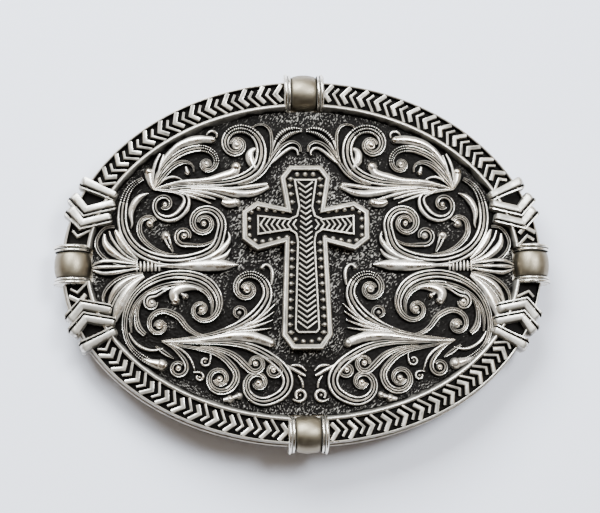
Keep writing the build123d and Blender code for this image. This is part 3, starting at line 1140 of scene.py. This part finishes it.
@dataclass(frozen=True)
class Border:
    """The band of chevrons, and the smooth bezel inside it.

    Attributes:
        outer, inner: How far the band's edges lie inside the back plate's edge.
        bezel: Width of the bezel.
        hollow: Level that the bezel's hollow wall falls to.
        foot: Level that both stand on.
        floor: Level of the band's sunk floor.
        top: Level of the band's rails and chevrons.
        gap: Half length of the notch at each bead.
        clasped: Length from the side bead's notch to the clasp bar.
        units: Pairs of chevrons from the clasp bar to the upper bead.
        leg: Length along the band that a chevron's tip leads its ends by.
        ridges: Half widths of the chevrons joined to the outer rail and to the inner.
        short: How far a chevron's free end stops short of its root on the rail.
        roots: How far the roots lie inside the band's outer and inner edges.
        margins: Least lengths from a chevron's ends, and from its tip, to what bounds its run.
        panel: Tips of the two chevrons between a side bead and its clasp.
        samples: How many points the middle line is measured through.
        rings: How many rings a quarter of the band has.
    """

    outer: float = 0.4
    inner: float = 4.8
    bezel: float = 1.35
    hollow: float = 2.2
    foot: float = 1.5
    floor: float = 3.15
    top: float = 4.2
    gap: float = 3.6
    clasped: float = 12.3
    units: int = 12
    leg: float = 1.7
    ridges: tuple[float, float] = (0.56, 0.33)
    short: float = 0.62
    roots: tuple[float, float] = (0.42, 0.12)
    margins: tuple[float, float] = (0.4, 0.7)
    panel: tuple[float, float] = (1.9, 3.7)
    samples: int = 800
    rings: int = 110

    @property
    def middle(self) -> float:
        """Inset of the band's middle line."""
        return (self.outer + self.inner) / 2

    def line(self, angle: np.ndarray, inset: np.ndarray) -> np.ndarray:
        """Plan points on the oval that lies an inset inside the back plate's edge."""
        angle, inset = np.broadcast_arrays(angle, inset)
        return np.stack([(HALF_X - inset) * np.cos(angle), (HALF_Y - inset) * np.sin(angle)], -1)

    def measured(self) -> tuple[np.ndarray, np.ndarray]:
        """Lengths walked along the top right quarter's middle line, and the oval angle at each."""
        start = math.asin(self.gap / (HALF_Y - self.middle))
        stop = math.acos(self.gap / (HALF_X - self.middle))
        angle = np.linspace(start, stop, self.samples)
        steps = np.linalg.norm(np.diff(self.line(angle, self.middle), axis=0), axis=1)
        return np.append(0, np.cumsum(steps)), angle

    def band(
        self, insets: Sequence[float], levels: Sequence[float], crest: Sequence[float]
    ) -> Surface:
        """A closed section carried round the top right quarter.

        Args:
            insets: How far each point of the section lies inside the back plate's edge.
            levels: Level of each.
            crest: Brightness of each.

        Returns:
            The surface.
        """
        walked, angle = self.measured()
        even = np.interp(np.linspace(0, walked[-1], self.rings), walked, angle)
        plan = self.line(even[:, None], np.array(insets))
        rings = bent(plan[..., 0], plan[..., 1], np.array(levels))
        return tube(rings, np.broadcast_to(crest, rings.shape[:2]))

    def trough(self) -> Surface:
        """The side wall, two thin rails, and the sunk floor between them."""
        a, b, foot, top, low = self.outer, self.inner, self.foot, self.top, self.floor
        section = (
            (a, foot, 0.8),
            (a, top - 0.3, 0.8),
            (a + 0.06, top - 0.06, 1),
            (a + 0.18, top, 1),
            (a + 0.30, top - 0.08, 0.9),
            (a + 0.40, low + 0.2, 0),
            (a + 0.6, low, 0),
            (b - 0.3, low, 0),
            (b - 0.14, low + 0.2, 0),
            (b - 0.06, top - 0.1, 0.9),
            (b + 0.1, top, 1),
            (b + 0.1, foot, 0),
        )
        return self.band(*zip(*section))

    def smooth_bezel(self) -> Surface:
        """A bright rounded lip, and the wall that falls from it in a hollow curve to the face,
        darkened towards the face by painted shade.
        """
        share = np.linspace(0, 1, 9)
        insets = [self.inner + 0.05, self.inner + 0.1, self.inner + 0.22, self.inner + 0.4]
        levels = [self.foot, self.top, self.top + 0.1, self.top + 0.06]
        insets += list(self.inner + 0.5 + (self.bezel - 0.5) * share)
        levels += list(self.hollow + (self.top - self.hollow) * (1 - share) ** 1.25)
        # The lip is worn bright; the wall's brightness falls to nought towards the face, which is
        # painted shade in the hollow under the lip.
        crest = [0, 0.8, 1, 1, *(0.42 * (1 - share) ** 1.5)]
        return self.band([*insets, insets[-1]], [*levels, self.foot], [*crest, 0])

    def chevron(self, tip: float, leads: int, from_inner: bool) -> Surface:
        """One chevron, joined to one rail and stopping short of the other.

        Args:
            tip: Length along the quarter of its tip.
            leads: 1 if the tip points to the upper bead, or -1 if to the side bead.
            from_inner: Whether the inner rail is the one that it is joined to.

        Returns:
            Its surface.
        """
        walked, angle = self.measured()
        ends = np.array([self.outer + self.roots[0], self.inner - self.roots[1]])
        ends += (self.short, 0) if from_inner else (0, -self.short)
        insets = np.array([ends[0], self.middle, ends[1]])
        back = np.abs(insets - self.middle) / (self.inner - self.middle) * self.leg
        path = self.line(np.interp(tip - leads * back, walked, angle), insets)
        height = self.top - self.floor + 0.02
        half = self.ridges[from_inner]
        return carried(cornered(path, 3), half, height, Section.flat_topped(), self.floor)

    def chevrons(self, leads: int) -> Surface:
        """A quarter's chevrons, joined in turn to the inner and the outer rail.

        Args:
            leads: 1 if their tips point to the upper bead, or -1 if to the side bead.

        Returns:
            Their surface.
        """
        length = self.measured()[0][-1]
        ends, tip = self.margins
        start = self.clasped + (self.leg + ends if leads > 0 else tip)
        stop = length - (tip - 0.2 if leads > 0 else self.leg + ends - 0.1)
        tips = [*np.linspace(start, stop, 2 * self.units), *self.panel]
        return Surface.joined(
            [self.chevron(tip, leads, step % 2 == 0) for step, tip in enumerate(tips)]
        )

    def build(self) -> None:
        """Makes the band, the bezel and the chevrons."""
        for part, name, finish, slot, node, crease in (
            (self.trough(), "border_band", BORDER, Slot.BORDER, "border_ring", 40),
            (self.smooth_bezel(), "smooth_bezel", BEZEL, Slot.BEZEL, "inner_bezel", 60),
        ):
            whole = Surface.joined([quarter.place(part) for quarter in Quarter])
            whole.piece(name, finish, slot, [node], crease)
        one_way, other_way = self.chevrons(1), self.chevrons(-1)
        for quarter in Quarter:
            chevrons = quarter.place(one_way if quarter.turned else other_way)
            chevrons.piece(f"chevrons_{quarter.name.lower()}", BORDER, Slot.BORDER, crease=35)


@dataclass(frozen=True)
class Clasps:
    """The bar and two chevrons that clasp the border on each side of a side bead.

    Attributes:
        routes: Each ridge's line in the top left quarter, from the rim inwards.
        half_width: Half width of a ridge.
        flare: How much wider it is at the rim, as a share.
        flare_length: Length over which it narrows from there.
        rounding: Length over which an end rounds over.
        base: Level where its sides start to round over.
        top: Level of its crest.
        foot: Level that its sides go down to.
    """

    routes: tuple[tuple[str, Points], ...] = (
        ("clasp_bar", ((-43.2, 16.2), (-36.3, 12.85))),
        ("outer_chevron", ((-44.95, 13.5), (-42.3, 10.3), (-36.5, 11.45))),
        ("inner_chevron", ((-45.6, 10.9), (-43.0, 7.75), (-37.2, 8.95))),
    )
    half_width: float = 1.0
    flare: float = 0.35
    flare_length: float = 4.5
    rounding: float = 0.7
    base: float = 3.5
    top: float = 5.3
    foot: float = 0.8

    def ridge(self, route: Points) -> Surface:
        """A ridge with a groove along its back, whose ends round over.

        Args:
            route: Its line, from the rim inwards.

        Returns:
            The surface.
        """
        path = cornered(np.array(route, float), 16)
        walked = np.append(0, np.cumsum(np.linalg.norm(np.diff(path, axis=0), axis=1)))
        to_end = np.minimum(walked, walked[-1] - walked)
        rounding = np.sqrt(1 - (1 - np.clip(to_end / self.rounding, 0, 1)) ** 2)
        height = (self.top - self.base) * (0.45 + 0.55 * rounding)
        outward = np.clip(1 - walked / self.flare_length, 0, 1)
        half = self.half_width * (0.72 + 0.28 * rounding) * (1 + self.flare * outward)
        return carried(path, half, height, Section.grooved(), self.base, self.base - self.foot)

    def build(self) -> None:
        """Makes the twelve ridges."""
        for kind, route in self.routes:
            upper_right = self.ridge(route).mirrored(0)
            for quarter in Quarter:
                node = f"{kind}_{quarter.name.lower()}"
                quarter.place(upper_right).piece(f"worn_{node}", CLASPS, Slot.CLASP, [node], 50)


@dataclass(frozen=True)
class Beads:
    """The four barrel beads and the grooved collars at their ends.

    Attributes:
        radius: Bead radius at the middle.
        end_radius: Bead radius at its ends.
        length: Bead length.
        collar: Collar radius at its ridges.
        collar_length: Length of a collar's place.
        clearance: Gap left at each end of it.
        groove: Depth of the groove round it.
        split: Share of its length that the groove lies at.
        level: Level of the beads' axes.
        inset: How far the axes lie inside the back plate's edge.
    """

    radius: float = 3.6
    end_radius: float = 2.85
    length: float = 5.0
    collar: float = 3.8
    collar_length: float = 1.4
    clearance: float = 0.03
    groove: float = 0.42
    split: float = 0.42
    level: float = 2.0
    inset: float = 2.3

    def turned(self, place: tuple[float, float], along_y: bool, profile: np.ndarray) -> Surface:
        """A turned shape: a profile of lengths, radii and crests spun about an axis in the plate.

        Args:
            place: Plan place of the axis's middle.
            along_y: Whether the axis runs along Y, or else along X.
            profile: Rows of length along the axis, radius and crest.

        Returns:
            The surface.
        """
        centre = bent(*place, self.level)
        turn = np.radians(np.arange(0, 360, 7.5))
        length, radius, crest = (column[:, None] for column in profile.T)
        across, out = radius * np.cos(turn), radius * np.sin(turn)
        along = np.broadcast_to(length, across.shape)
        axes = (across, along, out) if along_y else (along, -across, out)
        rings = centre + np.stack(axes, -1)
        return tube(rings, np.broadcast_to(crest, across.shape))

    def bead_profile(self) -> np.ndarray:
        """The barrel: the radius swells by the root of 1 - 0.96 times the share squared."""
        share = np.linspace(-1, 1, 21)
        radius = self.end_radius + (self.radius - self.end_radius) * np.sqrt(1 - 0.96 * share**2)
        crest = np.clip(2.2 - 2.1 * np.abs(share), 0, 1)
        return np.stack([share * self.length / 2, radius, crest], 1)

    def collar_profile(self, side: int) -> np.ndarray:
        """Two rounded ridges with a groove between them, on one end of the bead.

        Args:
            side: 1 for the end that lies ahead along the axis, or -1 for the other.

        Returns:
            Rows of length along the axis, radius and crest.
        """
        share = np.linspace(0, 1, 17)
        outer = share > self.split
        turned = np.where(outer, (share - self.split) / (1 - self.split), share / self.split)
        wave = np.sin(np.pi * turned).clip(0) ** 0.7
        radius = self.collar - self.groove + self.groove * wave * np.where(outer, 1, 0.45)
        start, clear = self.length / 2 + self.clearance, self.collar_length - 2 * self.clearance
        length = side * (start + clear * share)
        return np.stack([length, radius, np.where(share == 1, 1, wave)], 1)[::side]

    def build(self) -> None:
        """Makes the beads and collars."""
        ends = {"left": (-1, 0), "right": (1, 0), "top": (0, 1), "bottom": (0, -1)}
        for name, (x, y) in ends.items():
            place = (x * (HALF_X - self.inset), y * (HALF_Y - self.inset))
            along_y = x != 0
            bead = self.turned(place, along_y, self.bead_profile())
            bead.piece(f"barrel_{name}", BEADS, Slot.BEAD, [f"bead_{name}"], 60)
            words = ("upper", "lower") if along_y else ("right", "left")
            for side, word in zip((1, -1), words):
                node = f"collar_{name}_{word}"
                collar = self.turned(place, along_y, self.collar_profile(side))
                collar.piece(f"grooved_{node}", COLLARS, Slot.COLLAR, [node], 60)


# ---------------------------------------------------------------- cross


def mirrored_loop(half: Points) -> np.ndarray:
    """A closed outline from its right half, run clockwise from the top of the middle line."""
    right = np.array([(0, half[0][1]), *half, (0, half[-1][1])])
    return np.vstack([right, right[-2:0:-1] * (-1, 1)])


@dataclass(frozen=True)
class Cross:
    """The standing cross: a framed body, an inner cross with a herringbone, and pearls between.

    Attributes:
        outline: Right half of the body, from the head down.
        core: Right half of the inner cross.
        pearls: Right half of the line that the pearls stand on.
        foot: Level of the body's underside.
        floor: Level of the sunk floor.
        pearl: Radius and height of a pearl.
        pearl_pitch: Distance between pearls.
        rung: Half length, half width and height of the rungs across the upright channels.
        channel: How far to the side the pearls that stand on rungs may be.
        rib: Half width and height of a rib of the herringbone.
        rib_pitch: Distance between ribs.
        upright_ribs, arm_ribs: Where the upright's and the arms' ribs start and stop.
        upright_halves, arm_halves: Half lengths of the ribs at places along each.
        rib_foot: Level that the ribs stand on.
        rib_slope: How much further along a rib's ends lie than its middle, as a share of its half
            length.
        arm: Height of the arms' middle line.
    """

    outline: Points = (
        (3.05, 18.45), (4.87, 16.1), (3.9, 10.3), (9.4, 11.45), (12.25, 9.6),
        (12.25, 4.1), (9.4, 1.9), (4.15, 3.3), (4.85, -14.45), (2.9, -17.2),
    )
    core: Points = (
        (2.3, 15.8), (1.45, 10.35), (1.9, 8.7), (3.2, 8.1), (9.4, 8.85),
        (9.4, 4.85), (3.2, 5.75), (2.1, 5.05), (1.8, 3.6), (2.45, -13.3), (1.8, -14.1),
    )
    pearls: Points = (
        (1.55, 16.75), (3.2, 15.5), (2.55, 10.7), (3.3, 9.4), (9.5, 10.1), (10.85, 9.1),
        (10.85, 4.6), (9.3, 3.5), (3.4, 4.5), (2.7, 3.3), (3.4, -13.6), (2.2, -15.4), (0.8, -15.65),
    )
    foot: float = 2.3
    floor: float = 4.3
    pearl: tuple[float, float] = (0.5, 0.7)
    pearl_pitch: float = 1.6
    rung: Triple = (0.62, 0.2, 0.55)
    channel: tuple[float, float] = (2.3, 3.5)
    rib: tuple[float, float] = (0.27, 0.42)
    rib_pitch: float = 1.05
    upright_ribs: tuple[float, float] = (-13.2, 14.6)
    upright_halves: Points = ((-13.3, 1.85), (3.6, 1.25), (10.35, 0.95), (15.8, 1.6))
    arm_ribs: tuple[float, float] = (2.5, 9.0)
    arm_halves: Points = ((3.2, 0.95), (9.4, 1.6))
    rib_foot: float = 4.6
    rib_slope: float = 0.75
    arm: float = 6.9

    def body(self) -> Surface:
        """The body and its frame: loops that step inwards from the outline, each at its level."""
        return self.stepped(
            self.outline,
            (
                (0, self.foot, 0.3),
                (0, 4.85, 0.6),
                (0.1, 5.1, 1),
                (0.24, 5.24, 1.05),
                (0.5, 5.2, 0.6),
                (0.8, 5.24, 1),
                (0.95, 5.12, 0.9),
                (1.05, 4.85, 0.2),
                (1.12, self.floor, 0),
            ),
        )

    def core_body(self) -> Surface:
        """The inner cross: a raised line round a floor that is sunk for the ribs."""
        return self.stepped(
            self.core,
            (
                (0, self.floor - 0.2, 0.1),
                (0, 4.95, 0.9),
                (0.1, 5.1, 1),
                (0.32, 5.1, 1),
                (0.42, 4.9, 0.7),
                (0.46, self.rib_foot, 0),
            ),
        )

    def stepped(self, half: Points, steps: Sequence[Triple]) -> Surface:
        """Loops that step inwards from an outline.

        Args:
            half: Right half of the outline.
            steps: How far in each loop lies, its level and its brightness.

        Returns:
            The closed surface.
        """
        outline = mirrored_loop(half)
        inset, level, crest = (column[:, None] for column in np.array(steps).T)
        plan = outline - sideways(outline, closed=True) * inset[..., None]
        rings = bent(plan[..., 0], plan[..., 1], level)
        return self.capped(rings, np.broadcast_to(crest, rings.shape[:2]))

    @staticmethod
    def capped(rings: np.ndarray, crest: np.ndarray) -> Surface:
        """A surface through loops, closed by flat triangles over the first and the last.

        The right half of each cap is cut into triangles, and the left half mirrors it.

        Args:
            rings: Points, as loop by place by three, with the loops clockwise from the middle
                line's top and the same on both sides of it.
            crest: Brightness, as loop by place.

        Returns:
            The surface.
        """
        count, around = rings.shape[:2]
        half = around // 2 + 1
        index, quads = linked(count, around)
        caps = []
        for ring, upward in ((0, False), (count - 1, True)):
            corners = rings[ring, :half]
            flat = [Vector((x, y, 0)) for x, y, _ in corners.tolist()]
            cut = np.array(tessellate_polygon([flat]))
            a, b, c = (corners[cut[:, k], :2] for k in range(3))
            area = (b - a)[:, 0] * (c - a)[:, 1] - (b - a)[:, 1] * (c - a)[:, 0]
            cut = np.where((area > 0)[:, None] == upward, cut, cut[:, ::-1])
            caps += [index[ring, cut], index[ring, (-cut % around)[:, ::-1]]]
        return Surface(rings.reshape(-1, 3), quads, np.concatenate(caps), crest.ravel())

    def pearl_row(self) -> Surface:
        """Pearls spaced evenly along their line on both sides, and one on the middle line's top."""
        line = np.array(self.pearls)
        walked = np.append(0, np.cumsum(np.linalg.norm(np.diff(line, axis=0), axis=1)))
        places = np.linspace(0, walked[-1], round(walked[-1] / self.pearl_pitch) + 1)
        right = np.stack([np.interp(places, walked, line[:, axis]) for axis in (0, 1)], 1)
        spots = np.vstack([right, right * (-1, 1), [(0, self.pearls[0][1])]])
        row = [dome(tuple(spot), *self.pearl, self.floor) for spot in spots]
        reach, half, height = self.rung
        across = np.array([(-reach, 0), (0, 0), (reach, 0)])
        aside = np.abs(spots[:, 0])
        for spot in spots[(aside > self.channel[0]) & (aside < self.channel[1])]:
            row.append(carried(spot + across, half, height, Section.rounded(5), self.floor))
        return Surface.joined(row)

    def herringbone(self) -> Surface:
        """Slanting ribs that meet in a V on the middle line of the leg, the head and each arm."""
        ribs = []
        for y in np.arange(*self.upright_ribs, self.rib_pitch):
            half = float(np.interp(y, *zip(*self.upright_halves)))
            lead = self.rib_slope * half
            ribs.append(np.array([(-half, y + lead), (0, y), (half, y + lead)]))
        arm = self.arm
        for x in np.arange(*self.arm_ribs, self.rib_pitch):
            half = float(np.interp(x, *zip(*self.arm_halves)))
            lead = self.rib_slope * half
            rib = np.array([(x - lead, arm + half), (x, arm), (x - lead, arm - half)])
            ribs += [rib, rib * (-1, 1)]
        section = Section.rounded(5)
        return Surface.joined(
            [carried(cornered(rib, 3), *self.rib, section, self.rib_foot) for rib in ribs]
        )

    def build(self) -> None:
        """Makes the body, the inner cross, the pearls and the ribs."""
        self.body().piece("framed_cross", CROSS, Slot.CROSS, ["cross_body"], 35)
        self.core_body().piece("inner_cross", CROSS, Slot.INLAY, ["cross_inlay"], 35)
        self.pearl_row().piece("cross_pearls", CROSS, Slot.CROSS, crease=60)
        self.herringbone().piece("cross_herringbone", CROSS, Slot.INLAY, crease=60)


# ---------------------------------------------------------------- back


@dataclass(frozen=True)
class Back:
    """The cast back plate with its rounded rim, and the finish of the fittings behind it.

    Attributes:
        rounding: Radius of the rim's edges.
        thickness: Thickness of the plate.
        spread: How far the ovals between the middle and the rim lie inside the edge.
        fittings: The nodes that keep their shape.
    """

    rounding: float = 0.35
    thickness: float = Bend().thickness
    spread: tuple[float, ...] = (46.5, 40, 30, 20, 10, 3, 1)
    fittings: tuple[str, ...] = (
        "belt_loop", "loop_bracket_upper", "loop_bracket_lower", "belt_peg",
        "bracket_rivets", "bead_pins", "cross_pins",
    )

    def plate(self) -> Surface:
        """The plate: ovals that run from the middle of the front, round the rim, to the back's."""
        edge, thick, spread = self.rounding, self.thickness, np.array(self.spread)
        turn = np.radians(np.linspace(90, -90, 11))
        rim_level = np.where(turn > 0, thick - edge, edge) + edge * np.sin(turn)
        insets = np.concatenate([spread, edge * (1 - np.cos(turn)), spread[::-1]])
        levels = np.concatenate([spread * 0 + thick, rim_level, spread * 0])
        insets, levels = insets[:, None], levels[:, None]
        angle = np.radians(np.arange(0, 360, 2))
        x = HALF_X * (1 - insets / HALF_X) * np.cos(angle)
        y = (HALF_Y - insets * np.where(insets < 2, 1, HALF_Y / HALF_X)) * np.sin(angle)
        rings = bent(x, y, levels)
        return tube(rings, np.ones(rings.shape[:2]))

    def build(self) -> None:
        """Makes the plate and dresses the fittings."""
        self.plate().piece("cast_back", PLATE, Slot.BACK, ["back_plate"], 40)
        for name in self.fittings:
            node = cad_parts[name]
            node.data.materials.clear()
            node.data.materials.append(STEEL.material())
            LOG.info("%s: dressed", name)


# ---------------------------------------------------------------- studio


@dataclass(frozen=True)
class Studio:
    """The pale floor, the soft lights and the camera.

    Attributes:
        distance: From the camera to the face, in metres.
        lean_x, lean_y: Degrees that the view leans off the face's normal, towards -X and -Y.
        roll: Degrees that the camera is turned about its own axis.
        lens: Focal length in millimetres.
        aim: The point looked at, in millimetres.
        edge: Half length of the floor's side, in metres.
        pale: Colour of the floor.
        sky: Strength of the world's light.
        low, high: Place along the world's rise in Y, and colour, of its dark and bright ends.
        lights: Each light's name, place and side in metres, power in watts, and colour.
    """

    distance: float = 0.417
    lean_x: float = 4.35
    lean_y: float = 8.74
    roll: float = -0.134
    lens: float = 129.4
    aim: Triple = (-0.93, 1.32, 9.0)
    edge: float = 1.5
    pale: Triple = (0.875, 0.885, 0.985)
    sky: float = 0.76
    low: tuple[float, Triple] = (0.32, (0.09, 0.065, 0.04))
    high: tuple[float, Triple] = (0.6, (1.0, 0.88, 0.71))
    lights: tuple[tuple[str, Triple, float, float, Triple], ...] = (
        ("window", (-0.22, 0.45, 0.50), 0.42, 14.6, (0.87, 0.95, 1.0)),
        ("overhead", (0.30, 0.2, 0.75), 0.26, 8.6, (0.88, 0.95, 1.0)),
    )

    def camera(self) -> None:
        """Sets the scene's camera."""
        data = bpy.data.cameras.new("camera")
        data.lens = self.lens
        data.clip_start, data.clip_end = 0.01, 20
        camera = added("camera", data)
        leans = [-math.tan(math.radians(lean)) for lean in (self.lean_x, self.lean_y)]
        towards = Vector((*leans, 1)).normalized()
        upward = towards.cross(Vector((1, 0, 0))).normalized()
        axes = Matrix((upward.cross(towards), upward, towards)).transposed()
        camera.location = Vector(self.aim) * MM + towards * self.distance
        camera.rotation_euler = (axes @ Matrix.Rotation(math.radians(self.roll), 3, "Z")).to_euler()
        bpy.context.scene.camera = camera

    def softbox(self, name: str, place: Triple, size: float, power: float, tint: Triple) -> None:
        """A square soft light that faces the buckle.

        Args:
            name: Its name.
            place: Its place, in metres.
            size: Length of its side, in metres.
            power: Its power, in watts.
            tint: Its colour.
        """
        data = bpy.data.lights.new(name, "AREA")
        data.size, data.energy, data.color = size, power, tint
        made = added(name, data)
        made.location = place
        made.rotation_euler = Vector(place).to_track_quat("Z", "Y").to_euler()

    def floor(self) -> None:
        """A wide pale floor."""
        signs = ((-1, -1), (1, -1), (1, 1), (-1, 1))
        corners = [(x * self.edge, y * self.edge, 0) for x, y in signs]
        mesh = bpy.data.meshes.new("floor")
        mesh.from_pydata(corners, [], [(0, 1, 2, 3)])
        material = bpy.data.materials.new("pale_floor")
        material.use_nodes = True
        shader = material.node_tree.nodes["Principled BSDF"]
        shader.inputs["Base Color"].default_value = (*self.pale, 1)
        shader.inputs["Roughness"].default_value = 0.75
        mesh.materials.append(material)
        floor = added("floor", mesh)

    def build(self) -> None:
        """Makes the whole studio."""
        self.camera()
        self.floor()
        world = bpy.data.worlds.new("studio")
        bpy.context.scene.world = world
        world.use_nodes = True
        background = world.node_tree.nodes["Background"]
        background.inputs["Strength"].default_value = self.sky
        nodes, join = world.node_tree.nodes, world.node_tree.links.new
        direction = nodes.new("ShaderNodeTexCoord")
        split = nodes.new("ShaderNodeSeparateXYZ")
        ramp = nodes.new("ShaderNodeValToRGB")
        share = nodes.new("ShaderNodeMapRange")
        share.inputs["From Min"].default_value = -1
        join(direction.outputs["Generated"], split.inputs[0])
        join(split.outputs["Y"], share.inputs["Value"])
        join(share.outputs["Result"], ramp.inputs["Fac"])
        join(ramp.outputs["Color"], background.inputs["Color"])
        for element, (place, tint) in zip(ramp.color_ramp.elements, (self.low, self.high)):
            element.position, element.color = place, (*tint, 1)
        for light in self.lights:
            self.softbox(*light)


def main() -> None:
    """Builds every piece in order."""
    logging.basicConfig(level=logging.INFO, format="%(name)s: %(message)s")
    for part in (Studio(), Back(), Scrollwork(), Border(), Clasps(), Beads(), Cross()):
        part.build()


if __name__ == "__main__":
    main()
